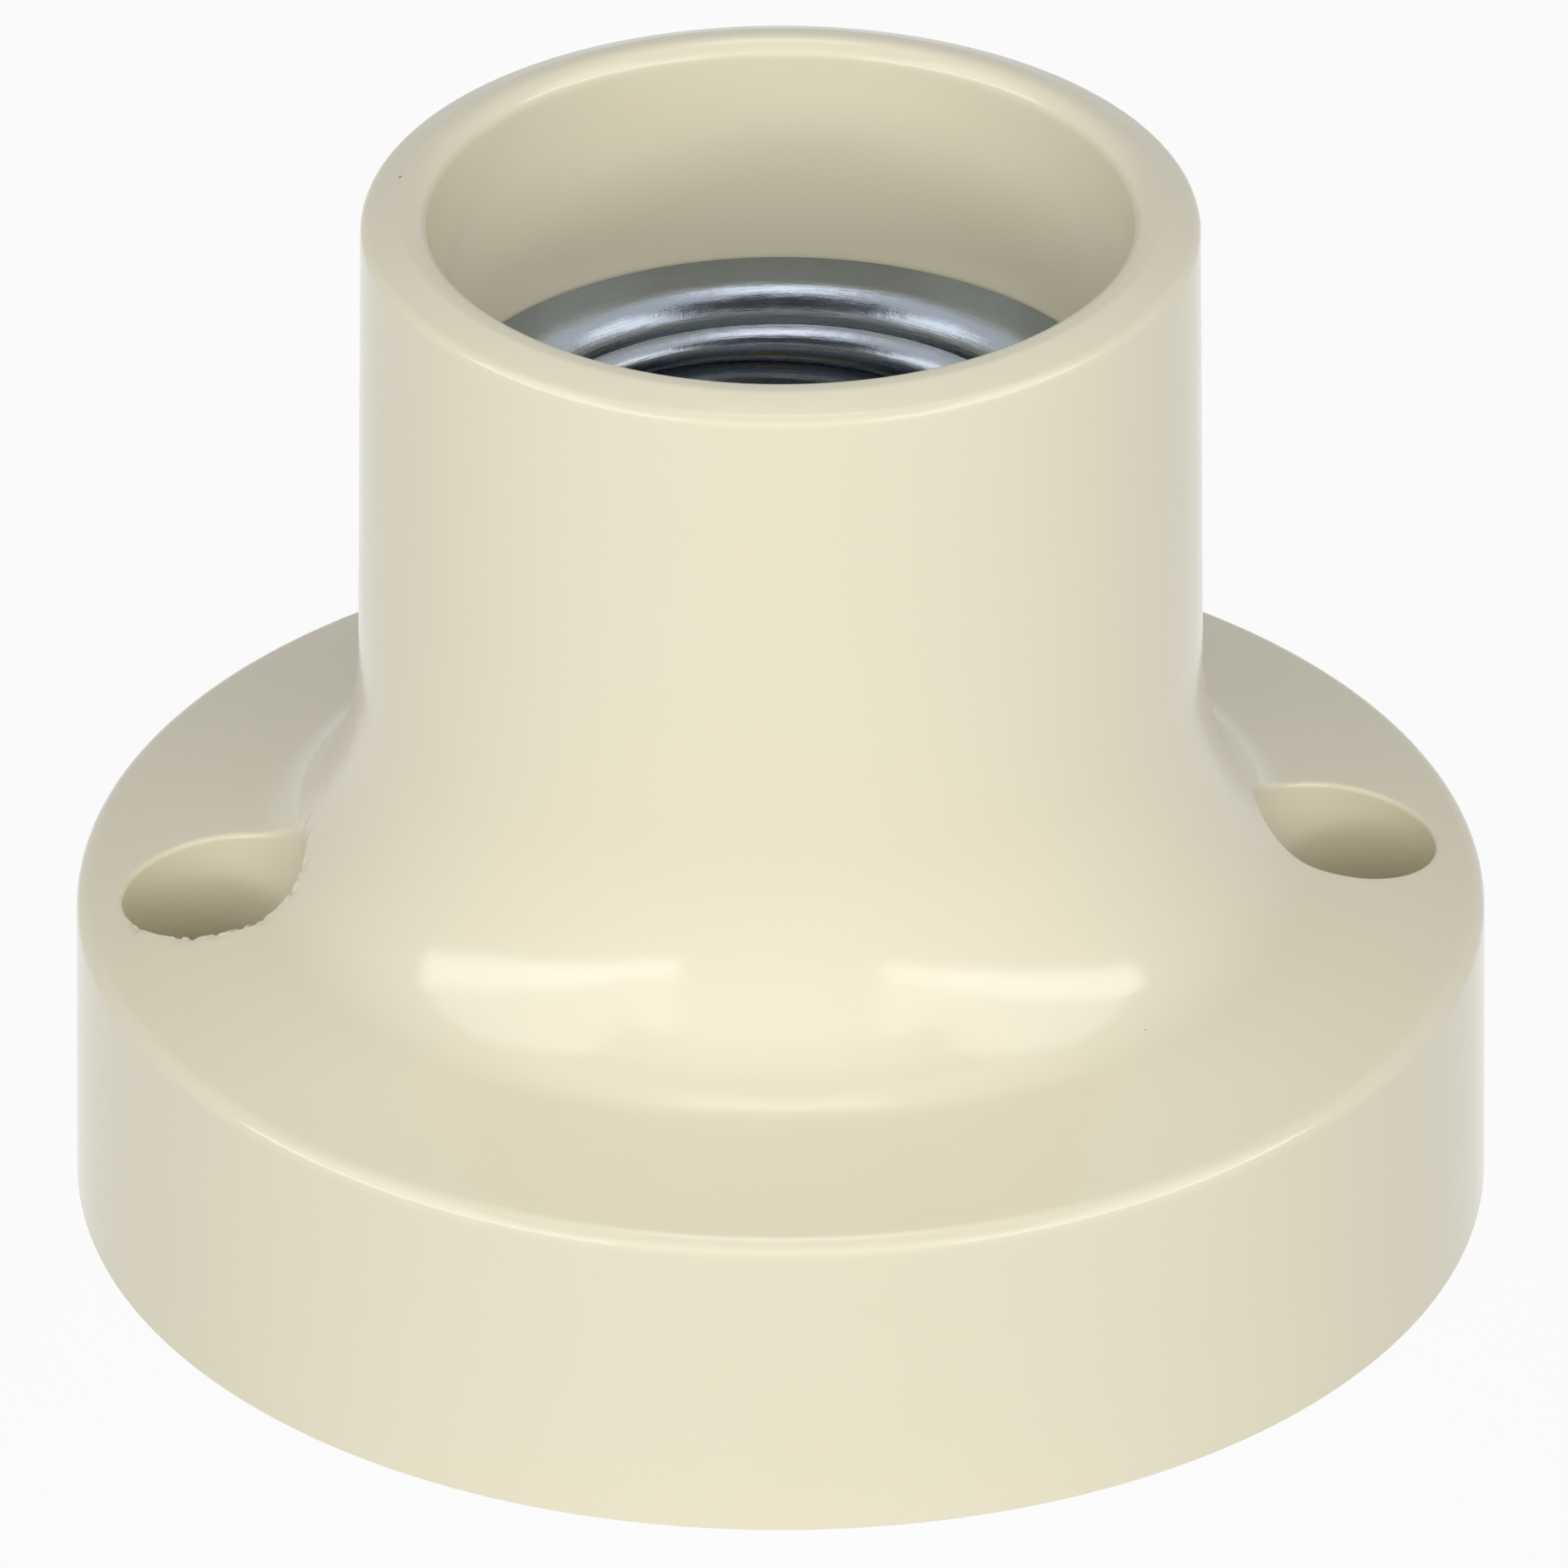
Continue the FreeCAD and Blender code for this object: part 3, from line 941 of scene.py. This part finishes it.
def about_the_axis(tree):
    """Coordinates that change across the turning marks and hardly along them."""
    place = put(tree, "ShaderNodeTexCoord", {}).outputs["Object"]
    axes = put(tree, "ShaderNodeSeparateXYZ", {"Vector": place}).outputs
    level = put(tree, "ShaderNodeCombineXYZ", {0: axes[0], 1: axes[1]}).outputs[0]
    radius = put(tree, "ShaderNodeVectorMath", {0: level}, operation="LENGTH").outputs["Value"]
    angle = calculate(tree, "ARCTAN2", axes[1], axes[0])
    along = calculate(tree, "MULTIPLY", angle, LINE_STRETCH)
    return put(tree, "ShaderNodeCombineXYZ", {0: radius, 1: along, 2: axes[2]}).outputs[0]


def rolled_metal():
    """Bright sheet with rolling marks round the axis and small handling dents."""
    material, tree, shader = finish_frame("rolled sheet", Metallic=1.0)
    drift = place_group(tree, TINT_DRIFT, Color=SHEET, Other_Color=SHEET_DULL, Patch_Size=0.004, Amount=0.6)
    tree.links.new(drift["Color"], shader.inputs["Base Color"])
    lines = place_group(tree, DRAWN_LINES, Vector=about_the_axis(tree), Line_Width=0.00009)
    tree.links.new(spread(tree, lines["Height"], low=0.16, high=0.34), shader.inputs["Roughness"])
    grain = place_group(tree, FINE_GRAIN, Wave_Size=0.0009, Grain_Size=0.00012, Grain_Share=0.35)
    both = calculate(tree, "ADD", grain["Height"], calculate(tree, "MULTIPLY", lines["Height"], 0.5))
    bump(tree, shader, both, distance=0.00002)
    return material


FINISHES["shell_metal"] = rolled_metal()
print("finish:", FINISHES["shell_metal"].name)

# %% [markdown]
# ### Small metal pieces
# The contact, the rivets, the plates and the screws are cut from strip or wire. One recipe makes
# all three metals: lines along the strip, soft patches of tarnish, and a colour of their own. The
# last argument says how fast the lines change along x, y and z.

# %% Small metal pieces
def strip_metal(name, colour, tarnish, roughness, across):
    """Stamped strip: rolling lines along one way, and soft patches of tarnish."""
    material, tree, shader = finish_frame(name, Metallic=1.0)
    drift = place_group(tree, TINT_DRIFT, Color=colour, Other_Color=tarnish, Patch_Size=0.0025, Amount=0.8)
    tree.links.new(drift["Color"], shader.inputs["Base Color"])
    place = put(tree, "ShaderNodeTexCoord", {}).outputs["Object"]
    stretched = put(tree, "ShaderNodeVectorMath", {0: place, 1: across}, operation="MULTIPLY").outputs[0]
    lines = place_group(tree, DRAWN_LINES, Vector=stretched, Line_Width=0.00012)
    shine = spread(tree, lines["Height"], roughness - 0.08, roughness + 0.12)
    tree.links.new(shine, shader.inputs["Roughness"])
    bump(tree, shader, lines["Height"], distance=0.000006)
    return material


FINISHES["bronze"] = strip_metal(
    "spring bronze", srgb(205, 158, 104), srgb(166, 118, 72), roughness=0.28, across=(1, 0.04, 0.04))
FINISHES["brass"] = strip_metal(
    "stamped brass", srgb(216, 188, 120), srgb(178, 146, 84), roughness=0.3, across=(1, 0.04, 1))
FINISHES["plated_steel"] = strip_metal(
    "plated steel", srgb(188, 190, 194), srgb(150, 154, 158), roughness=0.26, across=(1, 1, 0.05))
print("finishes:", sorted(material.name for material in FINISHES.values()))

# %% [markdown]
# ### Dress the pieces
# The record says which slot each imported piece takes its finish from. The three finer meshes take
# theirs by the same slots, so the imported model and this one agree.

# %% Dress the pieces
slot_of = {part["node"]: part["material_slot"] for part in frame["record"]["subparts"]}
dressed = {"moulding": moulding, "shell_metal": rolled_shell, "bronze": contact_leaf}
for slot, piece in dressed.items():
    piece.data.materials.clear()
    piece.data.materials.append(FINISHES[slot])
for node, piece in frame["nodes"].items():
    finish = FINISHES[slot_of[node]]
    if not piece.material_slots:
        piece.data.materials.append(finish)
    for place in piece.material_slots:
        place.material = finish
print(len(frame["nodes"]), "packed pieces and", len(dressed), "finer ones have their finish")

# %% [markdown]
# ## Floor, light and camera
# A pale floor lies under the piece and keeps its soft shadow. The camera and reflections see it
# almost white, while it gives back only about half of the light that falls on it, so that it
# does not light the piece from below. From under the floor it is clear.

# %% Floor
FLOOR_WHITE = 0.94
FLOOR_GREY = (0.55, 0.55, 0.55, 1)
FLOOR_REACH = 6.0
FLOOR_DROP = 0.02 * MM
WHITE = (1, 1, 1, 1)


def light_path_share(tree):
    """1 where the camera, a reflection or a clear piece looks at this surface."""
    path = put(tree, "ShaderNodeLightPath", {}).outputs
    seen = calculate(tree, "MAXIMUM", path["Is Camera Ray"], path["Is Glossy Ray"])
    return calculate(tree, "MAXIMUM", seen, path["Is Transmission Ray"])


mesh = bmesh.new()
bmesh.ops.create_circle(mesh, cap_ends=True, segments=64, radius=FLOOR_REACH)
floor = finished("floor", mesh)
floor.location.z = -FLOOR_DROP
material = bpy.data.materials.new("pale floor")
material.use_nodes = True
tree = material.node_tree
tree.nodes.clear()
matt = put(tree, "ShaderNodeBsdfDiffuse", {"Color": FLOOR_GREY}).outputs[0]
white = put(tree, "ShaderNodeEmission", {"Color": WHITE, "Strength": 1.0}).outputs[0]
share = calculate(tree, "MULTIPLY", light_path_share(tree), FLOOR_WHITE)
lit = put(tree, "ShaderNodeMixShader", {0: share, 1: matt, 2: white}).outputs[0]
clear = put(tree, "ShaderNodeBsdfTransparent", {}).outputs[0]
under = put(tree, "ShaderNodeNewGeometry", {}).outputs["Backfacing"]
whole = put(tree, "ShaderNodeMixShader", {0: under, 1: lit, 2: clear}).outputs[0]
put(tree, "ShaderNodeOutputMaterial", {"Surface": whole})
floor.data.materials.append(material)
floor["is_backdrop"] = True
print("floor", FLOOR_REACH, "m in radius, seen at", FLOOR_WHITE)

# %% [markdown]
# ## The room
# The world stands for a plain white room. Seen directly or in a reflection it is white, and as
# light it is weak, because the soft boxes do the work.

# %% World
WORLD_LEVEL = 0.12
world = bpy.data.worlds.new("soft room")
scene.world = world
world.use_nodes = True
tree = world.node_tree
tree.nodes.clear()
room = put(tree, "ShaderNodeBackground", {"Color": WHITE, "Strength": WORLD_LEVEL}).outputs[0]
sky = put(tree, "ShaderNodeBackground", {"Color": WHITE, "Strength": 1.0}).outputs[0]
whole = put(tree, "ShaderNodeMixShader", {0: light_path_share(tree), 1: room, 2: sky}).outputs[0]
put(tree, "ShaderNodeOutputWorld", {"Surface": whole})
print("world light:", WORLD_LEVEL)

# %% [markdown]
# ## The camera
# The holder is seen from the front, a little turned and from 30 degrees above, with a long lens
# from nearly a metre away, which keeps the rims almost parallel.

# %% Camera
TURN = math.radians(5.5)
TILT = math.radians(30.02)
DISTANCE = 0.8682
AIM_HEIGHT = 21.2 * MM
SIDE_SHIFT = 0.166 * MM
SENSOR_WIDTH = 36.0
LENS = 405.2
camera_data = bpy.data.cameras.new("camera")
camera_data.sensor_width = SENSOR_WIDTH
camera_data.lens = LENS
camera = bpy.data.objects.new("camera", camera_data)
scene.collection.objects.link(camera)
scene.camera = camera
to_camera = Vector((-math.sin(TURN) * math.cos(TILT), -math.cos(TURN) * math.cos(TILT), math.sin(TILT)))
facing = (-to_camera).to_track_quat("-Z", "Y")
camera.rotation_mode = "QUATERNION"
camera.rotation_quaternion = facing
camera.location = UP * AIM_HEIGHT + to_camera * DISTANCE + facing @ Vector((SIDE_SHIFT, 0, 0))
print("camera at", tuple(round(value, 3) for value in camera.location))

# %% [markdown]
# ## Soft boxes
# Two long narrow strips run back along both sides, low down, and put the pair of highlights on
# the flare. A dimmer glow stands above each. A small top box lights the deck and the lip, and a
# wide box in front fills the face of the tube. Reflections do not see that last one, because it
# would show as a patch on the glossy skin.

# %% Soft boxes
def from_camera(right, ahead, height):
    """Place given from the lamp axis: to the camera's right, away from the camera, and up."""
    return Vector((right * math.cos(TURN) + ahead * math.sin(TURN),
                   ahead * math.cos(TURN) - right * math.sin(TURN), height))


def soft_box(name, place, facing, width, height, radiance):
    """Area light with a given brightness, whatever its size, that looks along a direction."""
    data = bpy.data.lights.new(name, "AREA")
    data.shape = "RECTANGLE"
    data.size = width
    data.size_y = height
    data.energy = radiance * math.pi * width * height
    light = bpy.data.objects.new(name, data)
    scene.collection.objects.link(light)
    light.location = place
    light.rotation_mode = "QUATERNION"
    light.rotation_quaternion = facing.to_track_quat("-Z", "Y")
    return light


STRIP = {"width": 2.2, "height": 0.17, "radiance": 4.0}
GLOW = {"width": 2.2, "height": 0.8, "radiance": 1.35}
STRIP_HEIGHTS = {"left": 0.31, "right": 0.37}
GLOW_LIFT = 0.5
NEARER = -1.1
for side, height in STRIP_HEIGHTS.items():
    way = -1 if side == "left" else 1
    across = from_camera(-way, 0, 0)
    soft_box(f"{side} strip", from_camera(way, NEARER, height), across, **STRIP)
    soft_box(f"{side} glow", from_camera(way, NEARER, height + GLOW_LIFT), across, **GLOW)
top = from_camera(right=0, ahead=0.1, height=1.4)
soft_box("top box", top, -top, width=0.5, height=0.5, radiance=1.7)
front = from_camera(right=0, ahead=-1.35, height=0.72)
fill = soft_box("front fill", front, -front, width=1.8, height=1.0, radiance=2.45)
fill.visible_glossy = False
print("soft boxes:", [light.name for light in bpy.data.lights])

# %% [markdown]
# ## Dark card
# Polished metal shows what stands round it, and in a white room it would look flat. One dark card
# above the camera, which only reflections see, gives the bright sheet its dark bands.

# %% Dark card
CARD_REACH = (0.85, 0.45, 0.001)
CARD_GREY = (0.03, 0.03, 0.03, 1)
card = box_tool(*((-reach, reach) for reach in CARD_REACH))
card.name = "dark card"
card.location = from_camera(right=0, ahead=-0.72, height=0.95)
card.rotation_mode = "QUATERNION"
card.rotation_quaternion = (-card.location).to_track_quat("-Z", "Y")
for kind in ("camera", "diffuse", "transmission", "volume_scatter", "shadow"):
    setattr(card, f"visible_{kind}", False)
material = bpy.data.materials.new("black card")
material.use_nodes = True
material.node_tree.nodes["Principled BSDF"].inputs["Base Color"].default_value = CARD_GREY
card.data.materials.append(material)
card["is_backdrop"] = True
print("dark card at", tuple(round(value, 2) for value in card.location))

# %% [markdown]
# ## Sizes and finish
# The dressed piece has to stay inside the box of the imported one, so both boxes are written down.

# %% Write the sizes and finish
scene.view_settings.view_transform = "Standard"
dressed_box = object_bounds()
for name, corners in (("packed", cad_box), ("dressed", dressed_box)):
    print(name, [tuple(round(value / MM, 2) for value in corner) for corner in corners])
